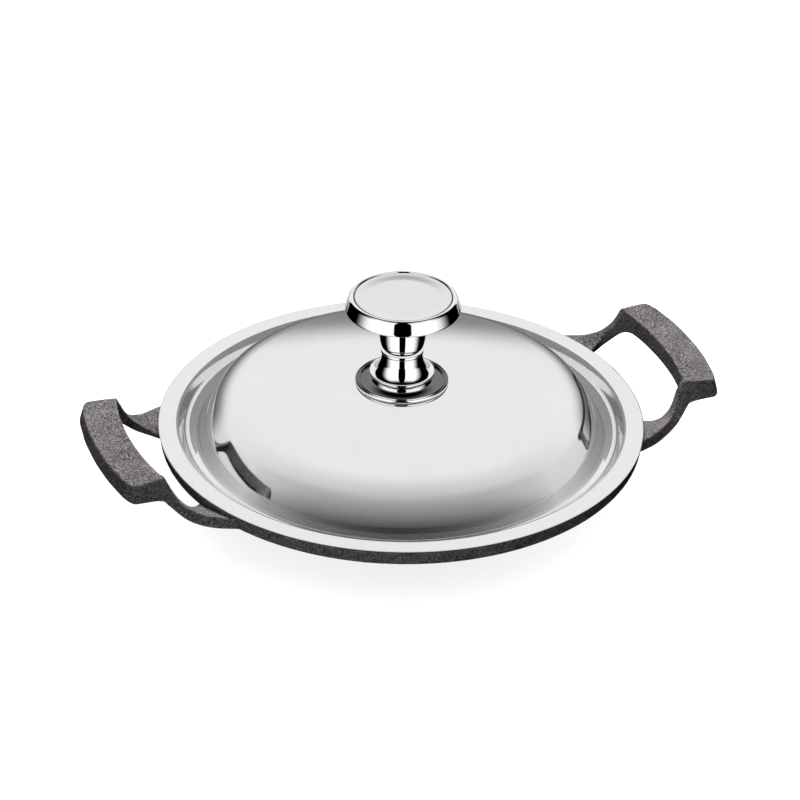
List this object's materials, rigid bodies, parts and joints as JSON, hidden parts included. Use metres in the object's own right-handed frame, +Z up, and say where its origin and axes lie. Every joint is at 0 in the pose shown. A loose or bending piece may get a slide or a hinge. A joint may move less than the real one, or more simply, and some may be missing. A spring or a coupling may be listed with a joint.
{
  "type": "lidded cast iron pan",
  "caption": "Shallow flared cast iron pan with integral loop handles, covered by a domed polished steel lid that lifts off by a turned chrome knob.",
  "frame": {"origin": "centre of the pan's flat base, on the surface that it stands on", "axes": "+X along the line through both handles, +Z up through the knob, +Y completes a right-handed set"},
  "size_m": [0.29, 0.22, 0.0987],
  "materials": {
    "iron": "sand-cast, seasoned, matt",
    "lid_steel": "mirror polished stainless",
    "knob_chrome": "polished",
    "plate_steel": "fine turned",
    "seal": "matt silicone",
    "zinc_steel": "zinc plated"
  },
  "bodies": {
    "pan": {"pan_casting": "iron"},
    "lid": {"lid_shell": "lid_steel", "knob_rosette": "knob_chrome", "knob_foot": "knob_chrome", "knob_neck": "knob_chrome", "knob_head": "knob_chrome", "knob_plate": "plate_steel", "knob_seal": "seal", "knob_washer": "zinc_steel", "knob_spring_washer": "zinc_steel", "knob_screw": "zinc_steel"}
  },
  "joints": [
    {"name": "lid_lift", "type": "slide", "parent": "pan", "child": "lid", "axis": [0, 0, 1], "range_m": [0, 0.12]}
  ]
}
